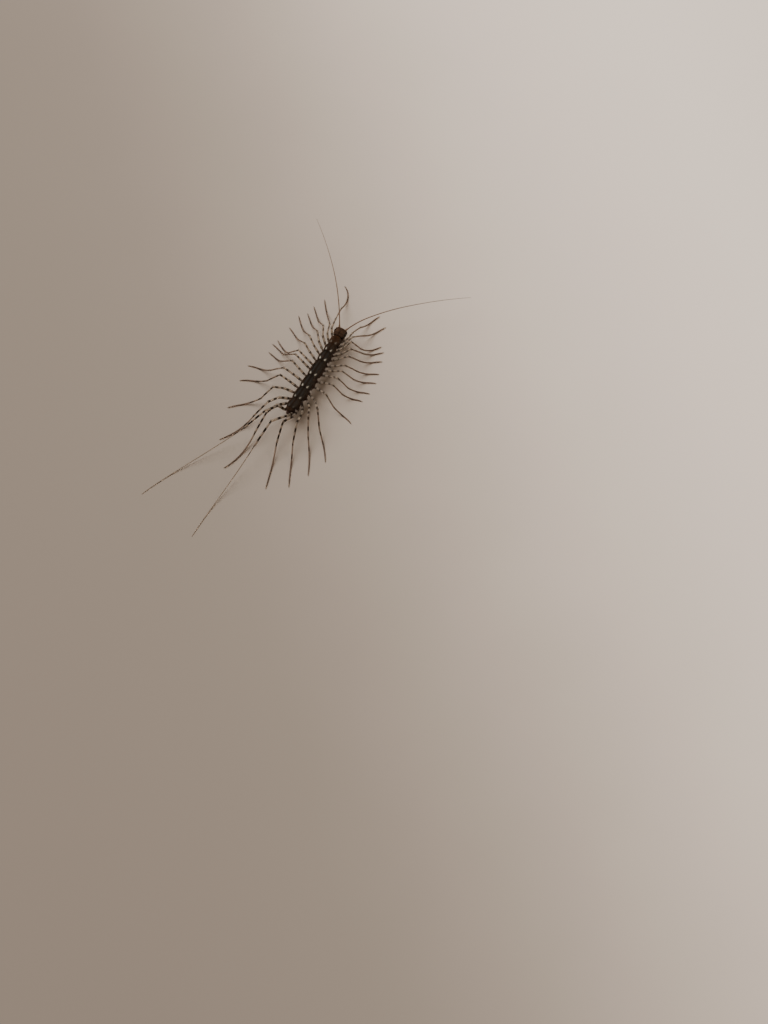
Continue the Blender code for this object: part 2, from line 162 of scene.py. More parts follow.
def addNode(tree, kind, settings=None, links=None):
    # one node: lower-case settings are its own values, the others its sockets
    node = tree.nodes.new("ShaderNode" + kind)
    for key, value in (settings or {}).items():
        if key == "stops":
            ramp = node.color_ramp
            while len(ramp.elements) < len(value):
                ramp.elements.new(0.5)
            for element, (place, colour) in zip(ramp.elements, value):
                element.position = place
                element.color = linear(colour)
        elif isinstance(key, str) and key[0].islower():
            setattr(node, key, value)
        else:
            node.inputs[key].default_value = value
    for socket, source in (links or {}).items():
        feed(node, socket, source)
    return node


def newMaterial(name, settings):
    material = bpy.data.materials.new(name)
    material.use_nodes = True
    tree = material.node_tree
    tree.nodes.clear()
    shader = addNode(tree, "BsdfPrincipled", settings)
    addNode(tree, "OutputMaterial", links={"Surface": (shader, "BSDF")})
    place = {"Vector": (addNode(tree, "TexCoord"), "Object")}
    return material, tree, shader, place


def perMm(size):
    return 1000.0 / size


def paint(tree, shader, place, size, detail, stops, tints=()):
    # clouds of a size in mm, from dark to pale, and over them tints, each as far as a mark of
    # the mesh or another node says
    clouds = addNode(tree, "TexNoise", {"Scale": perMm(size), "Detail": detail}, place)
    colour = addNode(tree, "ValToRGB", {"stops": stops}, {"Fac": (clouds, "Fac")}), "Color"
    for tint, share in tints:
        if isinstance(share, str):
            share = addNode(tree, "Attribute", {"attribute_name": share}), "Fac"
        colour = addNode(tree, "Mix", {"data_type": "RGBA", 7: linear(tint)},
                         {0: share, 6: colour}), 2
    feed(shader, "Base Color", colour)


def grained(tree, shader, place, size, strength, under=None):
    # fine raised points of a size in mm, on top of another relief where there is one
    points = addNode(tree, "TexVoronoi", {"Scale": perMm(size)}, place)
    bump = addNode(tree, "Bump", {"Strength": strength, "Distance": 0.02 * mm},
                   {"Height": (points, "Distance")})
    if under:
        feed(bump, "Normal", under)
    feed(shader, "Normal", (bump, "Normal"))


def plateCuticle():
    # thick tanned cuticle, hardened after moulting: nearly black brown with redder thin edges, a
    # painted bluish sheen either side of the back, a fine shagreen of points and pale windows at
    # each rear edge
    material, tree, shader, place = newMaterial("plate cuticle", {
        "IOR": 1.56, "Specular IOR Level": 0.3})
    rim, pale = [(addNode(tree, "Attribute", {"attribute_name": mark}), "Fac")
                 for mark in ("rim", "pale")]
    # dark blotches run into the brown edges
    blotches = addNode(tree, "TexNoise", {"Scale": perMm(0.7), "Detail": 4.0,
                                          "Distortion": 0.8}, place)
    patchy = addNode(tree, "MapRange", {"From Min": 0.36, "From Max": 0.56, "To Min": 0.25},
                     {"Value": (blotches, "Fac")})
    worn = addNode(tree, "Math", {"operation": "MULTIPLY", "use_clamp": True},
                   {0: rim, 1: (patchy, "Result")})
    # speckles break up the windows
    speckle = addNode(tree, "TexNoise", {"Scale": perMm(0.16), "Detail": 3.0}, place)
    broken = addNode(tree, "Math", {"operation": "MULTIPLY_ADD", 1: 0.7, 2: -0.35},
                     {0: (speckle, "Fac")})
    window = addNode(tree, "Math", {"operation": "ADD", "use_clamp": True},
                     {0: pale, 1: (broken, 0)})
    clear = addNode(tree, "Math", {"operation": "MULTIPLY", "use_clamp": True},
                    {0: (window, 0), 1: pale})
    # the first tint is painted sheen, a lighter bluish band standing in for a glint on the back
    paint(tree, shader, place, 1.3, 5.0,
          ((0.3, "#080503"), (0.46, "#1b1109"), (0.58, "#0d0a08"), (0.76, "#2e1b0f")),
          (("#252524", "bloom"), ("#38200f", (worn, 0)), ("#8f8b80", (clear, 0))))
    waves = addNode(tree, "TexNoise", {"Scale": perMm(0.5), "Detail": 4.0}, place)
    coarse = addNode(tree, "Bump", {"Strength": 0.35, "Distance": 0.06 * mm},
                     {"Height": (waves, "Fac")})
    # the real points stand about 0.04 mm apart; drawn at 0.09 mm so that they show
    grained(tree, shader, place, 0.09, 0.3, (coarse, "Normal"))
    rough = addNode(tree, "MapRange", {"To Min": 0.38, "To Max": 0.6}, {"Value": (waves, "Fac")})
    feed(shader, "Roughness", (rough, "Result"))
    return material


def headCuticle():
    # the head capsule: redder and thinner than the plates, silky with very short down
    material, tree, shader, place = newMaterial("head cuticle", {
        "Roughness": 0.5, "IOR": 1.55, "Specular IOR Level": 0.18})
    paint(tree, shader, place, 0.9, 6.0, ((0.3, "#1f150f"), (0.5, "#302219"), (0.7, "#433125")),
          (("#0f0805", "seam"),))
    grained(tree, shader, place, 0.08, 0.3)
    return material


def jointSkin():
    # the soft skin between the plates: wrinkled, dull, greyish pink-brown, a little see-through
    material, tree, shader, place = newMaterial("joint skin", {
        "Roughness": 0.55, "IOR": 1.45, "Subsurface Weight": 0.15,
        "Subsurface Radius": (0.6, 0.35, 0.25), "Subsurface Scale": 0.6 * mm})
    paint(tree, shader, place, 0.8, 6.0, ((0.3, "#271a14"), (0.5, "#3b2a22"), (0.7, "#574038")),
          (("#85705f", "belly"),))
    wrinkles = addNode(tree, "TexNoise", {"Scale": perMm(0.22), "Detail": 5.0,
                                          "Distortion": 0.6}, place)
    bump = addNode(tree, "Bump", {"Strength": 0.5, "Distance": 0.05 * mm},
                   {"Height": (wrinkles, "Fac")})
    feed(shader, "Normal", (bump, "Normal"))
    return material


def legCuticle():
    # thin pale leg cuticle, cloudy and see-through like horn, so that it takes the floor's
    # shade; the clear flesh inside nearly cancels the bending of light, hence the low IOR. On it
    # lie violet-brown freckles, red-brown hips darkened further by painted shade, greyer feet and
    # dark painted rings
    material, tree, shader, place = newMaterial("leg cuticle", {
        "Roughness": 0.5, "IOR": 1.2, "Specular IOR Level": 0.3, "Transmission Weight": 0.75})
    freckles = addNode(tree, "TexNoise", {"Scale": perMm(0.3), "Detail": 2.0}, place)
    few = addNode(tree, "MapRange", {"From Min": 0.6, "From Max": 0.72, "To Max": 0.4},
                  {"Value": (freckles, "Fac")})
    paint(tree, shader, place, 0.7, 5.0, ((0.3, "#b0a292"), (0.5, "#bfb1a0"), (0.72, "#cdbfae")),
          (("#75625a", (few, "Result")), ("#3f2115", "hip"), ("#8c786a", "foot"),
           ("#22170f", "band")))
    grained(tree, shader, place, 0.1, 0.25)
    return material


def feelerCuticle():
    # fine brown rings with darker seams, paler and greyer towards the thin end
    material, tree, shader, place = newMaterial("feeler cuticle", {
        "Roughness": 0.45, "IOR": 1.54})
    paint(tree, shader, place, 0.6, 4.0, ((0.3, "#5a4333"), (0.7, "#715946")),
          (("#93857a", "foot"), ("#3c281d", "band")))
    return material


def clawHorn():
    # hard polished horn of the poison claws and mouth feelers, dark at the sharp tips
    material, tree, shader, place = newMaterial("claw horn", {
        "Roughness": 0.28, "IOR": 1.56, "Coat Weight": 0.2, "Coat Roughness": 0.15})
    paint(tree, shader, place, 0.5, 4.0, ((0.3, "#45281a"), (0.7, "#65402b")),
          (("#150b08", "band"),))
    return material


def eyeCornea():
    # black facetted cornea; the facets are really about 0.03 mm wide, drawn at 0.07 mm
    material, tree, shader, place = newMaterial("eye cornea", {
        "Base Color": linear("#0c0a0b"), "Roughness": 0.22, "IOR": 1.5, "Coat Weight": 0.25,
        "Coat Roughness": 0.12})
    facets = addNode(tree, "TexVoronoi", {"Scale": perMm(0.07), "Randomness": 0.35}, place)
    domes = addNode(tree, "Bump", {"Strength": 0.6, "Distance": 0.02 * mm, "invert": True},
                    {"Height": (facets, "Distance")})
    feed(shader, "Normal", (domes, "Normal"))
    return material


def bristleHorn():
    # stiff hollow bristles, horn brown
    material, tree, shader, place = newMaterial("bristle horn", {"Roughness": 0.4, "IOR": 1.55})
    paint(tree, shader, place, 2.0, 2.0, ((0.35, "#33251c"), (0.7, "#5e4b3c")))
    return material


def floorPaint():
    # pale grey-beige painted floor, nearly even, with painted light: darker on one side and
    # paler on the other
    material, tree, shader, place = newMaterial("floor paint", {"Roughness": 0.6})
    # painted light and shade: the floor's colour grows paler along one direction across it
    across = addNode(tree, "VectorMath", {"operation": "DOT_PRODUCT", 1: (2.1, 2.3, 0.0)},
                     {0: place["Vector"]})
    cloud = addNode(tree, "TexNoise", {"Scale": perMm(60.0), "Detail": 4.0}, place)
    spread = addNode(tree, "Math", {"operation": "MULTIPLY_ADD", 1: 0.05, 2: 0.425},
                     {0: (cloud, "Fac")})
    paler = addNode(tree, "Math", {"operation": "ADD", "use_clamp": True},
                    {0: (spread, 0), 1: (across, "Value")})
    ground = addNode(tree, "ValToRGB", {"stops": (
        (0.05, "#83796f"), (0.34, "#887e74"), (0.52, "#a69b90"), (0.7, "#d6cabe"),
        (0.9, "#efe4d9"))}, {"Fac": (paler, 0)})
    ground.color_ramp.interpolation = "B_SPLINE"
    feed(shader, "Base Color", (ground, "Color"))
    return material


finishes = {
    "plate": plateCuticle(),
    "head": headCuticle(),
    "skin": jointSkin(),
    "leg": legCuticle(),
    "feeler": feelerCuticle(),
    "claw": clawHorn(),
    "eye": eyeCornea(),
    "bristle": bristleHorn(),
}
print("materials made")


# Camera, floor and light

# where the photo was taken from, in the animal's own millimetres
view = {
    "place": (84.5, -123.0, 291.95),
    "towards": (-0.1438, 0.2546, -0.9563),
    "right": (0.8708, 0.4917, 0.0),
    "lens": 35.16,
    "sensor": 36.0,
}
# in metres, from the middle of the floor
room = {
    "floorHalf": 2.0,
    "window": {"place": (-1.24, 0.42, 1.8), "size": 2.0, "power": 97.0, "colour": "#fffbf8"},
    "fill": {"place": (1.4, 0.5, 1.3), "size": 0.8, "power": 7.0, "colour": "#ffe6ca"},
    "walls": "#e6bf8e",
    "wallLight": 0.15,
}


def setCamera():
    data = bpy.data.cameras.new("photo view")
    data.lens = view["lens"]
    data.sensor_width = view["sensor"]
    data.clip_start, data.clip_end = 0.001, 10.0
    camera = addObject("photo view", data)
    back = -Vector(view["towards"]).normalized()
    right = Vector(view["right"]).normalized()
    up = back.cross(right).normalized()
    right = up.cross(back)
    turn = Matrix((right, up, back)).transposed()
    camera.matrix_world = Matrix.Translation(Vector(toFrame(view["place"]))) @ turn.to_4x4()
    bpy.context.scene.camera = camera


def layFloor():
    mesh = bpy.data.meshes.new("floor")
    half = room["floorHalf"]
    mesh.from_pydata([(-half, -half, 0), (half, -half, 0), (half, half, 0), (-half, half, 0)],
                     [], [(0, 1, 2, 3)])
    mesh.materials.append(floorPaint())
    addObject("floor", mesh)


def setLight():
    for name in ("window", "fill"):
        data = bpy.data.lights.new(name, "AREA")
        data.size = room[name]["size"]
        data.energy = room[name]["power"]
        data.color = linear(room[name]["colour"])[:3]
        lamp = addObject(name, data)
        lamp.location = room[name]["place"]
        lamp.rotation_euler = (-lamp.location).to_track_quat("-Z", "Y").to_euler()
        lamp.visible_glossy = name != "window"     # the wide window leaves no glint
    world = bpy.data.worlds.new("room")
    bpy.context.scene.world = world
    world.use_nodes = True
    back = world.node_tree.nodes["Background"]
    back.inputs["Color"].default_value = linear(room["walls"])
    back.inputs["Strength"].default_value = room["wallLight"]


setCamera()
layFloor()
setLight()
print("camera, floor and light set")


# Making shells and pieces

def gridFaces(rows, columns, closed):
    # faces between rows of points; in a closed grid each row is a ring
    r = np.arange(rows - 1)[:, None]
    c = np.arange(columns if closed else columns - 1)[None, :]
    a = r * columns + c
    b = r * columns + (c + 1) % columns
    return np.stack([a, b, b + columns, a + columns], axis=-1).reshape(-1, 4)


def facingOut(shell):
    # turns a closed shell's faces outward, read from its signed volume
    p, q, t = shell["points"], shell["quads"], shell["tris"]
    allTris = np.concatenate([t, q[:, [0, 1, 2]], q[:, [0, 2, 3]]])
    a, b, c = p[allTris[:, 0]], p[allTris[:, 1]], p[allTris[:, 2]]
    if np.einsum("ij,ij->i", a, np.cross(b, c)).sum() < 0:
        shell["quads"] = q[:, ::-1]
        shell["tris"] = t[:, ::-1]
    return shell


def ringShell(rings, marks=None):
    # closes rows of rings with a point in the middle of each end; marks are one value per ring
    rows, columns = rings.shape[:2]
    points = np.concatenate([rings.reshape(-1, 3), rings[:1].mean(1), rings[-1:].mean(1)])
    k = np.arange(columns)
    first = np.stack([(k + 1) % columns, k, np.full(columns, rows * columns)], axis=-1)
    base = (rows - 1) * columns
    last = np.stack([base + k, base + (k + 1) % columns, np.full(columns, rows * columns + 1)],
                    axis=-1)
    spread = {}
    for name, values in (marks or {}).items():
        if values.ndim == 1:
            values = np.repeat(values[:, None], columns, axis=1)
        spread[name] = np.concatenate([values.ravel(), values[:1].mean(1), values[-1:].mean(1)])
    return facingOut({"points": points, "quads": gridFaces(rows, columns, True),
                      "tris": np.concatenate([first, last]), "marks": spread})


def framesAlong(line):
    # direction of a line at each point, and the level and upright directions across it
    onward = unit(np.gradient(line, axis=0))
    across = unit(np.cross(onward, (0.0, 0.0, 1.0)))
    return onward, across, np.cross(across, onward)


def frameOf(start, end):
    # the same for a straight part
    return [ways[0] for ways in framesAlong((start, end))]


def around(turn, across, up):
    # directions across a line at angles round it
    turn = np.asarray(turn)[..., None]
    return np.cos(turn) * across + np.sin(turn) * up


def tubeShell(line, sizes, sides=12, marks=None, ridge=0.0):
    # a tube with its own radius at each point; ridge lifts every other corner a little
    sizes = np.asarray(sizes, float)
    onward, across, up = framesAlong(line)
    turn = 2 * math.pi * (np.arange(sides) + 0.5) / sides
    swell = 1.0 + ridge * np.where(np.arange(sides) % 2 == 0, 1.0, -1.0)
    c = (np.cos(turn) * swell)[None, :, None]
    s = (np.sin(turn) * swell)[None, :, None]
    rings = line[:, None] + sizes[:, None, None] * (c * across[:, None] + s * up[:, None])
    return ringShell(rings, marks)


def blobShell(centre, size, columns=24, rows=16, taper=0.0, droop=0.0):
    # a rounded form, thinner ahead by taper and bent down by droop
    lat = np.linspace(-0.5, 0.5, rows + 2)[1:-1] * math.pi
    lon = 2 * math.pi * np.arange(columns) / columns
    x = np.cos(lat)[:, None] * np.cos(lon)[None]
    z = np.cos(lat)[:, None] * np.sin(lon)[None]
    y = np.repeat(np.sin(lat)[:, None], columns, axis=1)
    thin = 1.0 - taper * (y + 1) / 2
    rings = np.stack([x * thin, y, z * thin - droop * (y + 1) ** 2 / 4], axis=-1)
    return ringShell(centre + rings * size)


creaseAngle = math.radians(40)     # sharper edges stay crisp


def makePiece(name, shells, finish, replaced=()):
    # joins shells into one object in the frame that rides on the root
    points = toFrame(np.concatenate([shell["points"] for shell in shells]))
    starts = np.cumsum([0] + [len(shell["points"]) for shell in shells])
    faces = [face for kind in ("quads", "tris") for shell, start in zip(shells, starts)
             for face in (shell[kind] + start).tolist()]
    mesh = bpy.data.meshes.new(name)
    mesh.from_pydata(points.tolist(), [], faces)
    for mark in sorted({mark for shell in shells for mark in shell["marks"]}):
        layer = mesh.attributes.new(mark, "FLOAT", "POINT")
        values = [shell["marks"].get(mark, np.zeros(len(shell["points"]))) for shell in shells]
        layer.data.foreach_set("value", np.concatenate(values).astype(np.float32))
    mesh.shade_smooth()
    mesh.set_sharp_from_angle(angle=creaseAngle)
    mesh.materials.append(finishes[finish])
    piece = addObject(name, mesh)
    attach(piece, "root")
    if replaced:
        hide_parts(*replaced)
    return piece


# Trunk

def bodyPoint(y, degrees, lift, bulge=0.0):
    # a point on the trunk at y, at an angle round its section, stood out by lift
    y, degrees, lift, bulge = np.broadcast_arrays(y, degrees, lift, bulge)
    c = np.cos(np.radians(degrees))
    s = np.sin(np.radians(degrees))
    size = girthAt(y)
    half = trunk["fullWidth"] / 2 * size + lift + bulge
    rise = np.where(s > 0, trunk["backRise"], trunk["bellyDrop"]) * size + lift
    wide, tall = trunk["roundness"]
    return np.stack([midlineAt(y) + half * np.sign(c) * np.abs(c) ** wide, y,
                     trunk["axisZ"] + rise * np.sign(s) * np.abs(s) ** tall], axis=-1)


def plateFronts():
    front = -trunk["headLength"] - trunk["plateGap"]
    fronts = [front]
    for length in trunk["plateLengths"]:
        front -= length + trunk["plateGap"]
        fronts.append(front)
    return fronts


def hipPlaces():
    places = []
    fronts = plateFronts()
    for front, length, count in zip(fronts, trunk["plateLengths"], trunk["legsUnderPlate"]):
        spacing = max(trunk["hipSpacing"], 0.9 * length / count)
        middle = front - length / 2 + trunk["skirt"]
        places += [middle + spacing * ((count - 1) / 2 - k) for k in range(count)]
    places.append(fronts[-1] - 0.1)
    return places


plates = {
    "columns": 75,
    "rows": 53,
    "overlap": 0.34,       # how far a plate's rear edge reaches over the next one
    "thickness": 0.07,
    "lobe": 0.3,
    "rearLift": 0.2,
    "sideEdge": -9.0,
    "spotX": 0.72,
    "spotBack": 0.6,
    "spotSize": (0.2, 0.34),
    # how clear the pale windows are, plate by plate
    "spotStrength": (0.5, 0.85, 1.0, 1.0, 0.95, 0.7, 0.3),
    # how brown the whole plate is, as the first one is, next to the head
    "browns": (0.75, 0.25, 0.05, 0.0, 0.0, 0.0, 0.15, 0.5),
    "tailLength": 1.35,
}


def plateTop(front, length, across, share, tail=False):
    # the plate's upper side at angles across the back and shares of its length
    c = np.abs(np.cos(np.radians(across)))
    corner = step(0.8, 1.02, c)
    frontEdge = front + 0.1 - 0.3 * corner
    lobes = plates["lobe"] * np.sin(math.pi * np.minimum(c, 1.0))
    rearEdge = front - length - plates["overlap"] - lobes + 0.55 * corner
    if tail:
        rearEdge = front - length - 0.1 * (1 - c) + 0.5 * c ** 2
    y = frontEdge + (rearEdge - frontEdge) * share
    lift = 0.02 + (plates["rearLift"] - 0.02) * step(0.0, 0.92, share)
    lift = lift + 0.05 * np.sin(math.pi * share) - 0.03 * step(0.95, 1.0, share)
    x = bodyPoint(y, across, 0.0)[..., 0] - midlineAt(y)
    # low saddle with the slit of an air hole, a crease down the middle and a beaded side edge
    saddle = bell(x, 0.0, 0.24) * bell(share, 0.84, 0.12)
    slit = bell(x, 0.0, 0.05) * step(0.76, 0.8, share) * (1 - step(0.88, 0.92, share))
    crease = bell(x, 0.0, 0.06) * step(0.1, 0.3, share) * (1 - step(0.6, 0.75, share))
    bead = bell(c, 0.985, 0.02) * step(0.02, 0.15, share)
    lift = lift + 0.09 * saddle - 0.025 * crease + 0.04 * bead
    if not tail:
        lift = lift - 0.07 * slit
    bulge = trunk["bulge"] * np.sin(math.pi * share) * (0.6 if tail else 1.0)
    return {"top": bodyPoint(y, across, lift, bulge), "y": y, "c": c, "x": x, "lift": lift,
            "bulge": bulge, "rear": rearEdge}


def rimFaces(rows, columns):
    # faces that close the edge between an upper and an under sheet of points
    count = rows * columns
    edge = np.concatenate([
        np.arange(columns), columns * np.arange(1, rows) + columns - 1,
        (rows - 1) * columns + np.arange(columns - 2, -1, -1),
        columns * np.arange(rows - 2, 0, -1)])
    after = np.roll(edge, -1)
    return np.stack([after, edge, edge + count, after + count], axis=-1)


def sheetShell(top, under, marks):
    # a closed thin shell between an upper and an under sheet; the marks lie on the upper one
    rows, columns = top.shape[:2]
    grid = gridFaces(rows, columns, False)
    quads = np.concatenate([grid, grid[:, ::-1] + rows * columns, rimFaces(rows, columns)])
    both = {name: np.concatenate([value.ravel(), share * value.ravel()])
            for name, (value, share) in marks.items()}
    return facingOut({"points": np.concatenate([top.reshape(-1, 3), under.reshape(-1, 3)]),
                      "quads": quads, "tris": np.zeros((0, 3), int), "marks": both})


def plateShell(front, length, spots, brown, tail=False):
    # columns stand closer together towards the midline
    u = np.linspace(-1, 1, plates["columns"])
    across = (90 - (90 - plates["sideEdge"]) * np.sign(u) * np.abs(u) ** 1.25)[None, :]
    share = np.linspace(0, 1, plates["rows"])[:, None] ** 0.95
    top = plateTop(front, length, across, share, tail)
    y, c, x = top["y"], top["c"], top["x"]
    thin = plates["thickness"] * (0.5 + 0.5 * np.sin(math.pi * share))
    under = bodyPoint(y, across, top["lift"] - thin, top["bulge"])
    rim = np.maximum(step(0.94, 1.0, share) * step(0.4, 0.9, c), 0.9 * step(0.8, 0.99, c))
    wide, long = plates["spotSize"]
    aside = plates["spotX"] * np.minimum(1.0, girthAt(y) + 0.05)
    # each window is a drop, drawn out ahead and a little outward
    ahead = y - top["rear"] - plates["spotBack"]
    drop = wide * (1.0 - 0.45 * step(-0.1, 0.9, ahead))
    stretch = np.where(ahead > 0, 1.9, 0.75) * long
    pale = bell(np.abs(x), aside + 0.22 * np.maximum(ahead, 0), drop) * bell(ahead, 0, stretch)
    pale = spots * np.minimum(1.0, 1.8 * pale)
    # painted sheen: a lighter band either side of the midline, where a glint of light would lie
    bloom = 0.8 * bell(np.abs(x), 0.5, 0.3) * bell(share, 0.5, 0.5)
    rim = np.maximum(rim, brown * (1 - 0.5 * share))
    return sheetShell(top["top"], under, {"rim": (rim, 1.0), "pale": (pale, 0.0),
                                          "bloom": (bloom * (1 - rim), 0.0)})


def buildPlates():
    fronts, lengths = plateFronts(), trunk["plateLengths"] + (plates["tailLength"],)
    spots = plates["spotStrength"] + (0.0,)
    for k, (front, length) in enumerate(zip(fronts, lengths)):
        tail = k == len(trunk["plateLengths"])
        shell = plateShell(front, length, spots[k], plates["browns"][k], tail)
        makePiece("plate_%d" % (k + 1), [shell], "plate")


def buildTrunkSkin():
    # one soft skin under the plates, from the neck to the tail, swelling round each hip
    ys = np.arange(-2.8, -trunk["length"] - 0.05, -0.12)
    y, a = np.meshgrid(ys, np.arange(0, 360, 6.0), indexing="ij")
    lift = np.full(y.shape, -0.05)
    for front in plateFronts():
        lift -= 0.09 * bell(y, front + 0.1, 0.12)
    flank = bell(a, 212, 20) + bell(a, 328, 20)
    for hip in hipPlaces():
        lift += 0.16 * flank * bell(y, hip, 0.5)
        lift -= 0.05 * (bell(a, 196, 9) + bell(a, 344, 9)) * bell(y, hip - 0.8, 0.2)
    end = step(-33.7, -32.2, y)
    neck = step(-3.6, -2.9, y)
    centre = np.stack([midlineAt(y), y, np.full(y.shape, trunk["axisZ"] - 0.3)], axis=-1)
    shrink = (0.35 + 0.65 * np.sqrt(end)) * (1.0 - 0.3 * neck)
    points = centre + (bodyPoint(y, a, lift) - centre) * shrink[..., None]
    nodes = ["trunk_%d" % k for k in range(1, 8)] + ["tail"]
    makePiece("trunk_skin", [ringShell(points, {"belly": bell(a, 270, 45)})], "skin",
              nodes)


def shieldShell(middle, half, angle, spread, rise, narrow=0.12):
    # a low domed shield on the skin round one place
    share = np.linspace(-1, 1, 14)[:, None]
    across = np.linspace(-1, 1, 19)[None, :]
    y = middle - half * share * np.sqrt(1 - 0.25 * across ** 2)
    a = angle + spread * across * (1 - narrow * share)
    dome = (1 - share ** 4) * (1 - across ** 4)
    return sheetShell(bodyPoint(y, a, rise * dome), bodyPoint(y, a, -0.12 + 0 * dome), {})


def buildShields():
    # a shield under each pair of legs, and small ones on the flank over and behind each hip
    belly, flank = [], []
    for hip in hipPlaces()[:-1]:
        belly.append(shieldShell(hip - 0.1, 0.62, 270, 36, 0.08))
        for side in (-1, 1):
            lower = 270 + side * 71
            flank.append(shieldShell(hip + 0.1, 0.5, lower, 7, 0.2, 0.3 * side))
            flank.append(shieldShell(hip - 0.72, 0.2, lower - 7 * side, 8, 0.14, 0.0))
    makePiece("belly_plates", belly, "head")
    makePiece("flank_plates", flank, "head")


def buildTailEnd():
    # the last small rings behind the plates, and the two short flaps beside them
    front = plateFronts()[-1]
    middle = float(midlineAt(front)) - 0.05
    shells = [blobShell((middle, front - 1.35, 4.15), (0.5, 0.72, 0.46), taper=-0.3, droop=-0.1)]
    for side in (-1, 1):
        place = (middle + side * 0.28, front - 1.68, 3.85)
        shells.append(blobShell(place, (0.2, 0.42, 0.18), 16, 10))
    makePiece("tail_end", shells, "head")


buildPlates()
buildTrunkSkin()
buildShields()
buildTailEnd()
print("trunk made")


# Head

head = {
    "width": 4.15,
    "bottomZ": 3.9,
    "topZ": 5.95,
    "splitZ": 4.75,
    "widths": ((0, 0.6), (0.04, 0.79), (0.12, 0.92), (0.28, 1.0), (0.5, 1.0), (0.7, 0.96),
               (0.86, 0.92), (1.0, 0.84)),
    "tops": ((0, 0.48), (0.05, 0.68), (0.16, 0.86), (0.32, 0.96), (0.5, 1.0), (0.68, 1.0),
             (0.86, 0.97), (1.0, 0.93)),
    "bottoms": ((0, 0.5), (0.05, 0.68), (0.16, 0.86), (0.32, 0.96), (0.5, 1.0), (0.68, 1.0),
                (0.86, 0.95), (1.0, 0.88)),
    "eyeSize": (0.55, 0.8, 0.66),
    "eyeOut": 1.66,
    "eyeRim": (0.74, 0.98),
    "feelerRoot": (0.95, -0.5, 5.0),
    "feelerWay": (62, 24),       # degrees ahead of straight out, then up
    "palpRoot": (0.85, -1.1, 3.8),
    "palpWay": (70, -25),
}


def onHead(side, place):
    return np.array([headMiddle + side * place[0], place[1], place[2]])


def limbRoot(side, limb):
    # where a feeler or mouth feeler leaves the head, and in which direction
    return onHead(side, head[limb + "Root"]), heading(side, *head[limb + "Way"])


def buildHeadShell():
    rows, columns = 70, 96
    share = np.linspace(0, 1, rows)[:, None] ** 1.2
    turn = 2 * math.pi * np.arange(columns)[None, :] / columns
    c, s = np.cos(turn), np.sin(turn)
    up = (head["topZ"] - head["splitZ"]) * curveThrough(head["tops"], share)
    down = (head["splitZ"] - head["bottomZ"]) * curveThrough(head["bottoms"], share)
    wide = head["width"] / 2 * curveThrough(head["widths"], share)
    x = wide * np.sign(c) * np.abs(c) ** 0.8
    y = -share * trunk["headLength"] - 0.14 * c * c * (1 - share)
    z = np.where(s > 0, up, down) * np.sign(s) * np.abs(s) ** 0.9
    onTop = step(0.0, 0.5, s)
    # seams of the capsule: along the middle, across behind the eyes, and forking to the feelers
    middleSeam = bell(x, 0, 0.05) * step(0.45, 0.6, share) * onTop
    crossSeam = bell(share, 0.72, 0.02) * onTop * step(0.1, 0.5, s)
    fork = bell(np.abs(x), 1.5 * (0.5 - share), 0.06) * step(0.12, 0.2, share)
    fork = fork * (1 - step(0.46, 0.52, share)) * onTop
    seam = np.clip(middleSeam + crossSeam + fork, 0, 1)
    dent = 0.035 * seam + 0.05 * bell(np.abs(x), 0.45, 0.3) * bell(share, 0.3, 0.1) * onTop
    rimX, rimY = head["eyeRim"]
    eye = np.sqrt(((np.abs(x) - head["eyeOut"]) / rimX) ** 2 + ((y - eyeCentre[1]) / rimY) ** 2)
    rimHeight = 0.06 * bell(eye, 1.0, 0.12) * step(-0.4, 0.1, s)
    grow = 1.0 + (rimHeight - dent) / np.maximum(np.sqrt(x ** 2 + z ** 2), 0.2)
    points = np.stack([headMiddle + x * grow, y, head["splitZ"] + z * grow], axis=-1)
    front = np.array([headMiddle, 0.0, head["splitZ"]])
    nose = np.array([front + (points[0] - front) * k + np.array([0, 0.08 * (1 - k), 0])
                     for k in (0.25, 0.55, 0.8)])
    seam = np.concatenate([np.zeros((len(nose), columns)), seam])
    shells = [ringShell(np.concatenate([nose, points]), {"seam": seam})]
    # lip, jaws and the first small mouth limbs under the front
    shells.append(blobShell(onHead(1, (0.0, -0.18, 4.38)), (0.62, 0.36, 0.3), taper=0.3))
    for side in (-1, 1):
        shells.append(blobShell(onHead(side, (0.36, -0.42, 4.1)), (0.4, 0.52, 0.36), taper=0.35))
        shells.append(blobShell(onHead(side, (0.26, -0.85, 3.84)), (0.24, 0.5, 0.2), taper=0.4))
        root, out = limbRoot(side, "feeler")
        line = root + np.linspace(-0.35, 0.28, 8)[:, None] * out
        shells.append(tubeShell(line, (0.3, 0.46, 0.47, 0.44, 0.4, 0.39, 0.4, 0.34), 24))
        root, out = limbRoot(side, "palp")
        line = root + np.linspace(-0.6, 0.1, 7)[:, None] * out
        shells.append(tubeShell(line, (0.2, 0.29, 0.31, 0.3, 0.3, 0.29, 0.2), 18))
    makePiece("head_shell", shells, "head", ["head"])


def buildEyes():
    for side, label in bothSides:
        place = (head["eyeOut"], eyeCentre[1], eyeCentre[2])
        shell = blobShell(onHead(side, place), head["eyeSize"], 64, 40)
        makePiece("eye_dome_" + label, [shell], "eye", ["eye_" + label])


buildHeadShell()
buildEyes()
print("head made")


# Mouth feelers and poison claws

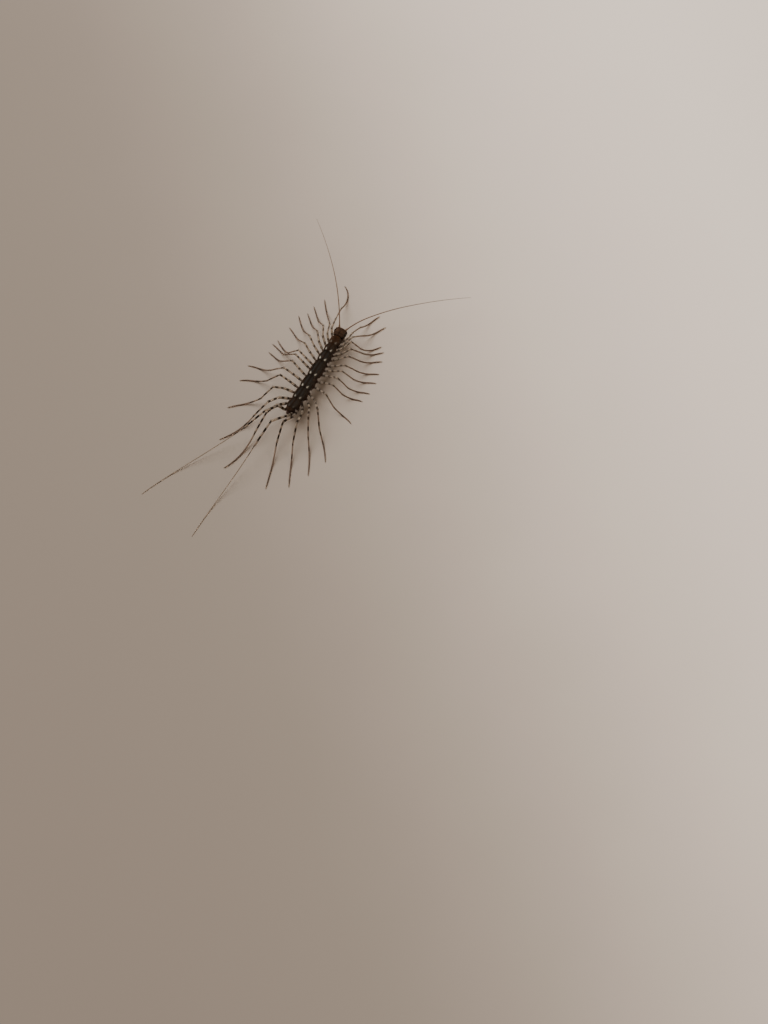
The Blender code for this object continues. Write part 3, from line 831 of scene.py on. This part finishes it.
# bends are degrees ahead of straight out, degrees up and a length in mm; sizes are radii at
# shares of the length; seams and the dark tip are places along it
mouthLimbs = {
    "palp_limb_": {
        "node": "palp_", "root": head["palpRoot"], "sunk": 0.05, "sides": 20,
        "bends": ((*head["palpWay"], 0.25), (62, -12, 0.45), (85, 0, 0.5), (112, -8, 0.5),
                  (135, -25, 0.4)),
        "sizes": ((0, 0.17), (0.08, 0.25), (0.28, 0.22), (0.33, 0.16), (0.38, 0.22),
                  (0.58, 0.2), (0.63, 0.14), (0.68, 0.19), (0.92, 0.14), (1, 0.05)),
        "seams": (0.33, 0.63), "seamWidth": 0.03, "darkTip": (0.93, 1.0)},
    "poison_claw_": {
        "node": "forcipule_", "root": (1.0, -3.62, 3.3), "sunk": 0.6, "sides": 24,
        "bends": ((72, -14, 0.6), (72, -14, 0.45), (74, -8, 0.7), (88, 0, 0.7), (104, 2, 0.6),
                  (122, 2, 0.45), (140, 0, 0.4), (158, -4, 0.42)),
        "sizes": ((0, 0.3), (0.06, 0.46), (0.14, 0.4), (0.17, 0.36), (0.3, 0.43), (0.5, 0.4),
                  (0.56, 0.34), (0.6, 0.36), (0.68, 0.31), (0.72, 0.25), (0.86, 0.15), (1, 0.02)),
        "seams": (0.56, 0.7), "seamWidth": 0.02, "darkTip": (0.8, 0.97)},
}


def distancesAlong(line):
    return np.concatenate([[0], np.cumsum(np.linalg.norm(np.diff(line, axis=0), axis=1))])


def bentLine(start, side, bends):
    # chain of straight steps smoothed into one bent line
    corners = [start]
    for turn, rise, length in bends:
        corners.append(corners[-1] + length * heading(side, turn, rise))
    corners = np.array(corners)
    places = distancesAlong(corners)
    pieces = 6             # of each step
    t = np.linspace(0, places[-1], pieces * len(bends) + 1)
    line = np.stack([np.interp(t, places, corners[:, k]) for k in range(3)], axis=-1)
    for _ in range(2 * pieces // 3):
        line[1:-1] = (line[:-2] + 2 * line[1:-1] + line[2:]) / 4
    return line, t / t[-1]


def buildMouthLimbs():
    for name, limb in mouthLimbs.items():
        for side, label in bothSides:
            way = heading(side, *limb["bends"][0][:2])
            start = onHead(side, limb["root"]) - limb["sunk"] * way
            line, share = bentLine(start, side, limb["bends"])
            dark = step(*limb["darkTip"], share)
            for seam in limb["seams"]:
                dark = dark + bell(share, seam, limb["seamWidth"])
            shell = tubeShell(line, curveThrough(limb["sizes"], share), limb["sides"],
                              {"band": np.clip(dark, 0, 1)})
            makePiece(name + label, [shell], "claw", [limb["node"] + label])


# Feelers

feelers = {
    "lengths": {-1: 39.0, 1: 41.5},
    "turns": {-1: ((0, 62), (8, 55), (20, 47), (44, 38)),
              1: ((0, 58), (8, 46), (20, 43), (44, 38))},
    "rises": ((0, 24), (8, 13), (20, 0), (44, -10)),
    "ring": 0.24,          # the real rings are 0.1 to 0.2 mm long
    "sizes": ((0, 0.2), (6, 0.165), (20, 0.12), (34, 0.075), (43.5, 0.04)),
    # the two stout joints at the root: start, end and radius, and the outline of both
    "baseJoints": ((0.2, 0.78, 0.33), (0.72, 1.3, 0.27)),
    "baseOutline": (0.6, 0.85, 0.93, 0.97, 1.0, 1.0, 1.04, 1.0, 0.7),
}


def feelerLine(side, stepLength):
    root, out = limbRoot(side, "feeler")
    line, places = [root + 0.75 * out], [0.0]
    while places[-1] < feelers["lengths"][side]:
        way = heading(side, stopsAt(feelers["turns"][side], places[-1]),
                      stopsAt(feelers["rises"], places[-1]))
        line.append(line[-1] + stepLength * way)
        places.append(places[-1] + stepLength)
    return np.array(line), np.array(places)


def buildFeelers():
    for side, label in bothSides:
        line, places = feelerLine(side, feelers["ring"] / 3)
        seam = np.arange(len(places)) % 3 == 0
        size = stopsAt(feelers["sizes"], places) * np.where(seam, 0.86, 1.03)
        marks = {"band": np.where(seam, 0.45, 0.0), "foot": 0.9 * step(3, 38, places)}
        shells = [tubeShell(line, size, 10, marks)]
        root, out = limbRoot(side, "feeler")
        outline = np.array(feelers["baseOutline"])
        for low, high, radius in feelers["baseJoints"]:
            part = root + np.linspace(low, high, len(outline))[:, None] * out
            shells.append(tubeShell(part, radius * outline, 20))
        makePiece("feeler_" + label, shells, "feeler", ["antenna_" + label])


buildMouthLimbs()
buildFeelers()
print("mouth limbs, claws and feelers made")


# Legs

# plan directions of knee, shin, heel and toe of each leg, degrees ahead of straight out
legPose = {
    -1: ((73, 78, 86, 24), (65, 49, 49, 54), (53, 32, 47, 42), (43, 33, 42, 43),
         (29, 28, 42, 47), (24, 23, 33, 23), (10, -17, 24, 34), (10, -5, 22, 12),
         (13, -6, 14, 14), (0, -20, -1, -21), (0, -35, -12, -37), (-25, -57, -36, -46),
         (-50, -60, -68, -50), (-66, -80, -87, -60), (-50, -62, -57, -69)),
    1: ((60, 85, 75, 65), (55, 62, 64, 60), (52, 14, 46, 56), (40, 35, 44, 42), (30, 30, 45, 30),
        (20, 25, 35, 25), (15, 10, 35, 20), (5, 0, 29, 14), (5, -1, 24, 9), (-14, -21, -1, -26),
        (-37, -56, -45, -60), (-53, -63, -57, -68), (-70, -76, -67, -63), (-98, -84, -73, -75),
        (-110, -98, -98, -90)),
}
pairs = len(legPose[1])
legs = {
    # how far the thigh points ahead, and the femur back, of both together
    "splays": {(-1, 14): -8.0, (-1, 15): -15.0, (1, 14): -17.0, (1, 15): -10.0},
    "lastFoot": {-1: 39.5, 1: 31.5},
    # legs longer or shorter than the others of their pair, as legs grown anew are
    "reaches": {(-1, 1): 1.08, (-1, 3): 1.04, (-1, 5): 1.06, (-1, 9): 0.95, (-1, 10): 1.04,
                (-1, 11): 0.96, (-1, 12): 0.96, (-1, 15): 0.95, (1, 1): 0.86, (1, 3): 0.96,
                (1, 8): 0.96, (1, 9): 0.9, (1, 10): 0.88, (1, 11): 1.04, (1, 12): 1.03,
                (1, 13): 1.02, (1, 14): 0.97, (1, 15): 1.05},
    # how far the red-brown of the hip runs out on the thigh, and how strong it is on the fore
    # legs and on the rear ones; the longer run on the right side and the stronger rear hips are
    # painted shade beside the body
    "hipBrownAndShadeReach": {-1: 0.4, 1: 0.9},
    "hipBrownAndShade": (0.4, 0.75),
    "shinGrey": (0.9, 0.4),      # how grey the shins are, on fore and rear legs
    "rearFrom": 12,              # the pair where the rear legs begin
    "ringDark": (0.64, 0.36),    # of the first legs' rings, and what it gains to the last legs
    "footRings": (0.55, 0.85),   # share of that on the feet, before pair 11 and from it on
    # thigh, femur, shin and foot in the middle of the row, what they gain towards the last pair
    # and towards the first, and what the rear feet gain besides
    "lengths": (3.0, 3.1, 5.0, 7.5),
    "rearGain": (1.4, 0.9, 2.4, 0.0),
    "frontGain": (-0.6, -0.4, 1.0, 2.7),
    "footGain": 8.4,
    "lastLengths": (4.2, 5.4, 8.6),
    # heights of the end of the thigh, the knee and the ankle
    "heights": (5.7, 6.8, 3.2),
    "rearRise": (0.7, 0.5, -0.3),
    "lastHeights": (7.4, 9.6, 6.4),
    "underFeeler": 0.6,          # how much lower the first pair stays
    "radii": (0.34, 0.29, 0.22),
    "rearStout": 0.27,
    "footRadius": 0.22,
    "lastFootRadius": 0.12,
    "footRing": 0.36,            # the real rings of the foot are 0.2 to 0.4 mm long
    "sides": 12,
    "spines": ((4, 0.5), (4, 0.5), (3, 0.75)),   # how many after each part, how long
    "spineRadius": 0.07,
    "footDown": (0.62, 0.8),     # share of the foot where it meets the floor, last pair second
    "footReach": (0.93, 0.99),
    "thigh": ((0, 0.5), (0.03, 0.78), (0.12, 0.92), (0.35, 1.06), (0.75, 0.9), (0.93, 0.98),
              (0.985, 1.06), (1.0, 0.92)),
    "femur": ((0, 0.45), (0.03, 0.68), (0.12, 0.8), (0.4, 0.95), (0.8, 0.93), (0.94, 1.02),
              (0.985, 1.1), (1.0, 0.95)),
    "shin": ((0, 0.5), (0.03, 0.78), (0.1, 0.95), (0.3, 0.98), (0.8, 0.88), (0.95, 0.95),
             (0.99, 1.06), (1.0, 0.9)),
}
# dark rings: the part of the leg, the place along it, and half the ring's length in mm
legRings = {
    "fore": (("thigh", 0.26, 0.38), ("thigh", 0.93, 0.42), ("femur", 0.6, 0.46),
             ("shin", 0.1, 0.5), ("foot", 0.12, 0.6), ("foot", 0.52, 0.7)),
    11: (("thigh", 0.26, 0.42), ("thigh", 0.8, 0.46), ("femur", 0.3, 0.46), ("femur", 0.85, 0.5),
         ("shin", 0.2, 0.6), ("shin", 0.75, 0.75), ("foot", 0.14, 0.7), ("foot", 0.42, 0.8)),
    12: (("thigh", 0.64, 0.5), ("femur", 0.17, 0.5), ("femur", 0.68, 0.58), ("shin", 0.1, 0.6),
         ("shin", 0.62, 0.85), ("foot", 0.04, 0.75), ("foot", 0.32, 0.8)),
    13: (("thigh", 0.2, 0.42), ("thigh", 0.66, 0.56), ("femur", 0.36, 0.56), ("femur", 0.93, 0.6),
         ("shin", 0.38, 0.75), ("shin", 0.74, 0.85), ("foot", 0.02, 0.6), ("foot", 0.3, 0.9)),
    14: (("thigh", 0.2, 0.42), ("thigh", 0.63, 0.58), ("femur", 0.22, 0.56), ("femur", 0.8, 0.6),
         ("shin", 0.1, 0.7), ("shin", 0.42, 0.85), ("shin", 0.72, 0.85), ("foot", 0.04, 0.7)),
    15: (("thigh", 0.5, 0.56), ("femur", 0.1, 0.5), ("femur", 0.5, 0.62), ("shin", 0.04, 0.6),
         ("shin", 0.37, 0.9), ("shin", 0.72, 1.0), ("foot", 0.02, 0.8), ("foot", 0.09, 0.8)),
}


def legSizes(pair, side):
    rear = (max(0, pair - 3) / (pairs - 4)) ** 3
    tail = max(0.0, (pair - 9.5) / 4.5)
    front = max(0.0, (3 - pair) / 2)
    lengths = [base + gain * rear + more * front for base, gain, more in
               zip(legs["lengths"], legs["rearGain"], legs["frontGain"])]
    lengths[3] += legs["footGain"] * tail
    if pair == pairs:
        lengths = (*legs["lastLengths"], legs["lastFoot"][side])
    reach = legs["reaches"].get((side, pair), 1.0)
    stout = 1.0 + legs["rearStout"] * rear
    return [length * reach for length in lengths], [radius * stout for radius in legs["radii"]]


def legHeights(pair):
    if pair == pairs:
        return legs["lastHeights"]
    tail = max(0.0, (pair - 11) / 3)
    duck = legs["underFeeler"] if pair == 1 else 0.0
    thighEnd, knee, ankle = [base + gain * tail for base, gain in
                             zip(legs["heights"], legs["rearRise"])]
    return thighEnd - duck, knee - duck, ankle


def footRadius(pair):
    return legs["footRadius"] if pair < pairs else legs["lastFootRadius"]


def hipAxis(pair, side):
    turn = -70.0 if pair == pairs else max(-55.0, min(35.0, 0.6 * legPose[side][pair - 1][0]))
    return heading(side, turn, 12)


def legJoints(pair, side):
    # hip, end of the short joint beyond it, end of thigh, knee, ankle and the foot's line
    pose = legPose[side][pair - 1]
    lengths, radii = legSizes(pair, side)
    heights = legHeights(pair)
    axis = hipAxis(pair, side)
    y = hipPlaces()[pair - 1]
    half = trunk["fullWidth"] / 2 * float(girthAt(y))
    hip = np.array([float(midlineAt(y)) + side * (half - trunk["hipInset"]), y, trunk["hipZ"]])
    end = hip + trunk["hipStub"] * axis
    joint = end + (trunk["plateGap"] + 0.4) * axis
    joints = [hip, end, joint]
    splay = legs["splays"].get((side, pair), max(-15.0, min(15.0, 0.2 * pose[0])))
    for k, turn in enumerate((pose[0] - splay, pose[0] + splay, pose[1])):
        reach = math.sqrt(lengths[k] ** 2 - (heights[k] - joint[2]) ** 2)
        joint = np.append((joint + reach * heading(side, turn))[:2], heights[k])
        joints.append(joint)
    last = int(pair == pairs)
    down = legs["footDown"][last]
    total = lengths[3] * legs["footReach"][last]
    count = 3 * int(round(total / legs["footRing"]))
    share = (np.arange(count) + 1) / count
    turns = np.radians(pose[2] + (pose[3] - pose[2]) * ((np.arange(count) + 0.5) / count) ** 2)
    flat = np.stack([side * np.cos(turns), np.sin(turns)], axis=-1) * total / count
    ground = joint[:2] + np.cumsum(flat, axis=0)
    rest = 0.93 * footRadius(pair)
    height = rest + (heights[2] - rest) * np.maximum(0.0, 1 - share / down) ** 2
    foot = np.concatenate([joint[None], np.column_stack([ground, height])])
    return joints, foot, radii


def ringStrength(pair, name, places, length):
    # how dark the painted rings are at distances along one part of a leg
    first, growth = legs["ringDark"]
    dark = first + growth * ((pair - 1) / (pairs - 1))
    if name == "foot":
        dark *= legs["footRings"][int(pair >= 11)]
    total = np.zeros(len(places))
    for part, place, half in legRings.get(pair, legRings["fore"]):
        if part == name:
            edge = 1 - step(half * 0.6, half * 1.15, np.abs(places - place * length))
            total = np.maximum(total, dark * edge)
    return total


def straightPart(name, pair, start, end, radius, ridge=0.05, hip=0.0, brownAndShadeReach=1.0, grey=0.0):
    outline = legs[name]
    length = float(np.linalg.norm(end - start))
    share = np.unique(np.concatenate([np.linspace(0, 1, int(length / 0.2) + 2),
                                      [s[0] for s in outline]]))
    bow = 0.02 * length * np.sin(math.pi * share)
    line = start + share[:, None] * (end - start) + np.column_stack([0 * share, 0 * share, bow])
    # the hip's red-brown fades out along the thigh; how far it runs is partly painted shade
    marks = {"band": ringStrength(pair, name, share * length, length),
             "hip": hip * (1 - step(0.0, brownAndShadeReach, share)), "foot": grey * step(0.15, 0.45, share)}
    return tubeShell(line, radius * curveThrough(outline, share), legs["sides"], marks, ridge)


def spine(root, way, length, radius):
    # a sharp tapering spine with a slight bend
    share = np.linspace(0, 1, 5)[:, None]
    side = unit(np.cross(way, (0.1, 0.2, 1.0)))
    line = root + length * (share * way + 0.08 * share ** 2 * np.cross(side, way))
    return tubeShell(line, radius * np.array((1.0, 0.9, 0.68, 0.4, 0.08)), 6,
                     {"band": np.array((0.2, 0.4, 0.7, 0.9, 1.0))})


def spineCrown(side, start, end, radius, count, length):
    # spines round the far end of one part, two of them close together on top
    onward, across, up = frameOf(start, end)
    crown = []
    for k in range(count):
        turn = math.radians(-150 + 300 * k / (count - 1) - 90 + 6 * (side + 1))
        outward = around(turn, across, up)
        root = end - 0.12 * onward + 0.85 * radius * outward
        crown.append(spine(root, unit(onward + 0.55 * outward), length * (0.8 + 0.3 * (k % 2)),
                           legs["spineRadius"]))
    return crown


def hipJoints(pair, side, hip, end, radius):
    # the joint that sits in the flank, and the short one beyond it
    axis, out = hipAxis(pair, side), heading(side, 0)
    root = hip - 0.75 * out - np.array([0, 0, 0.05])
    inner = np.stack([root, hip - 0.35 * out, hip - 0.1 * out, hip + 0.1 * axis, end,
                      end + 0.1 * axis])
    outer = end + np.linspace(0.02, 0.8, 9)[:, None] * axis
    band = np.array((0, 0, 0, 0.2, 0.4, 0.2, 0, 0, 0)) * min(1.0, 0.3 + pair / pairs)
    # red-brown hip colour on these joints, partly painted shade: full on the joint in the flank,
    # kept strong on the rear legs
    brown = np.linspace(0.95, 0.5 if pair < legs["rearFrom"] else 0.9, 9)
    sizes = radius * np.array((0.66, 0.82, 0.94, 1.0, 0.98, 0.92, 0.9, 0.92, 0.75))
    return [tubeShell(inner, (0.46, 0.5, 0.48, 0.46, 0.42, 0.34), 18, {"hip": np.ones(6)}, 0.02),
            tubeShell(outer, sizes, 16, {"band": band, "hip": brown})]


def footShells(pair, foot):
    places = distancesAlong(foot)
    share = places / places[-1]
    seam = np.arange(len(places)) % 3 == 0
    thick = footRadius(pair) * curveThrough(((0, 1.25), (0.05, 1.1), (0.3, 1.1), (0.75, 1.0),
                                             (0.95, 0.7), (1.0, 0.4)), share)
    grey = 0.45 + 0.5 * step(0.05, 0.35, share) - 0.35 * step(0.75, 1.0, share)
    if pair == pairs:
        grey = 0.5 - 0.3 * step(0.3, 0.9, share)
    band = np.maximum(ringStrength(pair, "foot", places, places[-1]), np.where(seam, 0.18, 0.0))
    last = unit(foot[-1] - foot[-4])
    return [tubeShell(foot, thick * np.where(seam, 0.9, 1.03), 10, {"foot": grey, "band": band}),
            spine(foot[-1] - 0.05 * last, unit(last + np.array([0, 0, -0.12])), 0.3, 0.06)]


def buildLeg(pair, side, label):
    joints, foot, radii = legJoints(pair, side)
    hip, end, joint, thighEnd, knee, ankle = joints
    rear = int(pair >= legs["rearFrom"])
    shells = hipJoints(pair, side, hip, end, radii[0])
    # the thigh's hip brown is partly painted shade: it runs further on the right side and is
    # stronger on the rear legs
    shells.append(straightPart("thigh", pair, joint, thighEnd, radii[0],
                               hip=legs["hipBrownAndShade"][rear], brownAndShadeReach=legs["hipBrownAndShadeReach"][side]))
    shells.append(straightPart("femur", pair, thighEnd, knee, radii[1]))
    shells.append(straightPart("shin", pair, knee, ankle, radii[2], 0.07,
                               grey=legs["shinGrey"][rear]))
    for k, (count, length) in enumerate(legs["spines"]):
        shells += spineCrown(side, joints[2 + k], joints[3 + k], radii[k], count, length)
    shells += footShells(pair, foot)
    name = "%s_%02d" % (label, pair)
    makePiece("limb_" + name, shells, "leg", ["leg_" + name])


for side, label in bothSides:
    for pair in range(1, pairs + 1):
        buildLeg(pair, side, label)
print("legs made")


# Bristles

bristles = {
    "spacing": 0.4,
    "rows": 6,
    # shortest, longest and radius
    "leg": (0.2, 0.38, 0.013),
    "foot": (0.16, 0.28, 0.012),
    "plate": (0.16, 0.3, 0.014),
    "feeler": (0.14, 0.26, 0.012),
    "fringe": 0.02,        # radius of the stiffer ones round a plate
    "patch": 0.003,        # width of one bristle on the bake map
}


def bristleTufts(roots, ways, kind, maps, stiffFrom=None):
    # thin three-sided bristles, each with its own small patch on the bake map
    count = len(roots)
    shortest, longest, radius = bristles[kind]
    lengths = dice.uniform(shortest, longest, count)[:, None]
    radii = np.full((count, 1), radius)
    if stiffFrom is not None:
        radii[stiffFrom:] = bristles["fringe"]
    ways = unit(ways)
    across = unit(np.cross(ways, dice.normal(size=(count, 3))))
    other = np.cross(ways, across)
    points, patches = [], []
    for share, thin in ((0.0, 1.0), (0.5, 0.75)):
        for k in range(3):
            turn = 2 * math.pi * k / 3
            ring = across * math.cos(turn) + other * math.sin(turn)
            bend = 0.1 * share ** 2 * lengths * across
            points.append(roots + share * lengths * ways + bend + thin * radii * ring)
            patches.append(maps + bristles["patch"] * np.array([k / 2, share]))
    points.append(roots + ways * lengths + 0.1 * lengths * across)
    patches.append(maps + bristles["patch"] * np.array([0.5, 1.0]))
    k = np.arange(3)
    after = (k + 1) % 3
    corners = len(points)
    first = corners * np.arange(count)[:, None, None]
    quads = np.stack([k, after, 3 + after, 3 + k], axis=-1)
    tris = np.stack([3 + k, 3 + after, np.full(3, 6)], axis=-1)
    return {"points": np.stack(points, axis=1).reshape(-1, 3),
            "quads": (quads + first).reshape(-1, 4), "tris": (tris + first).reshape(-1, 3),
            "marks": {}, "patches": np.stack(patches, axis=1).reshape(-1, 2)}


def makeBristles(name, tufts):
    mesh = makePiece(name, tufts, "bristle").data
    layer = mesh.uv_layers.new(name="OFBake")
    corners = np.zeros(len(mesh.loops), np.int32)
    mesh.loops.foreach_get("vertex_index", corners)
    patches = np.concatenate([t["patches"] for t in tufts])
    layer.data.foreach_set("uv", patches[corners].astype(np.float32).ravel())


def partBristles(start, end, radius, column, row):
    # rows of bristles round one straight part, leaning towards its far end
    onward, across, up = frameOf(start, end)
    length = np.linalg.norm(end - start)
    rows, steps = bristles["rows"], max(1, int(length / bristles["spacing"]))
    t = (np.repeat(np.arange(steps), rows) + dice.uniform(0.2, 0.8, steps * rows)) / steps
    turn = 2 * math.pi * (np.tile(np.arange(rows), steps) + 0.5) / rows
    turn = turn + dice.normal(0, 0.15, len(turn))
    outward = around(turn, across, up)
    roots = start + (t * length)[:, None] * onward + 0.9 * radius * outward
    ways = 1.2 * onward + outward + dice.normal(0, 0.12, (len(t), 3))
    maps = np.column_stack([column + 0.055 * turn / (2 * math.pi), row + 0.18 * t])
    return bristleTufts(roots, ways, "leg", maps)


def legBristles(side, label):
    tufts = []
    for pair in range(1, pairs + 1):
        joints, foot, radii = legJoints(pair, side)
        column = (pair - 0.95) / pairs
        for k in range(3):
            tufts.append(partBristles(joints[2 + k], joints[3 + k], radii[k], column,
                                      0.02 + 0.2 * k))
        places = np.arange(2, len(foot) - 2, 2)
        onward, across, up = [ways[places] for ways in framesAlong(foot)]
        turn = dice.uniform(0, 2 * math.pi, len(places))
        outward = np.cos(turn)[:, None] * across + np.abs(np.sin(turn))[:, None] * up
        roots = foot[places] + 0.8 * footRadius(pair) * outward
        share = places / len(foot)
        maps = np.column_stack([column + 0.03 + 0 * share, 0.65 + 0.33 * share])
        tufts.append(bristleTufts(roots, 1.3 * onward + outward, "foot", maps))
    makeBristles("leg_bristles_" + label, tufts)


def bodyBristles():
    # short bristles strewn over each plate, and stiffer ones along its sides and rear edge
    tufts = []
    edge = plates["sideEdge"]
    for k, (front, length) in enumerate(zip(plateFronts(), trunk["plateLengths"])):
        count, fringe = int(26 * length), int(16 * length)
        turn = edge + (180 - 2 * edge) * dice.uniform(0, 1, count + fringe)
        share = dice.uniform(0.03, 0.97, count + fringe)
        onSide = dice.uniform(0, 1, fringe) < 0.6
        nearest = np.where(turn[count:] < 90, edge, 180 - edge)
        turn[count:] = np.where(onSide, nearest, turn[count:])
        share[count:] = np.where(onSide, share[count:], 1.0)
        roots = plateTop(front, length, turn, share)["top"]
        outward = unit(roots - bodyPoint(roots[:, 1], turn, -0.5))
        out = np.repeat((0.8, 0.5), (count, fringe))[:, None]
        ways = out * outward + np.array([0, -1.0, 0]) + dice.normal(0, 0.15, (len(turn), 3))
        maps = np.column_stack([(turn + 10) / 210, 0.02 + 0.12 * (k + share)])
        tufts.append(bristleTufts(roots, ways, "plate", maps, count))
    makeBristles("plate_bristles", tufts)


def feelerBristles():
    tufts = []
    for side in (-1, 1):
        line, places = feelerLine(side, 0.3)
        keep = np.repeat(np.arange(2, len(line) - 1), 4)
        onward, across, up = [ways[keep] for ways in framesAlong(line)]
        turn = dice.uniform(0, 2 * math.pi, len(keep))
        outward = around(turn, across, up)
        roots = line[keep] + 0.85 * stopsAt(feelers["sizes"], places[keep])[:, None] * outward
        maps = np.column_stack([0.05 + 0.4 * (side + 1) / 2 + 0.3 * turn / 7,
                                places[keep] / 46])
        tufts.append(bristleTufts(roots, 1.2 * onward + outward, "feeler", maps))
    makeBristles("feeler_bristles", tufts)


legBristles(-1, "left")
legBristles(1, "right")
bodyBristles()
feelerBristles()
print("bristles made")
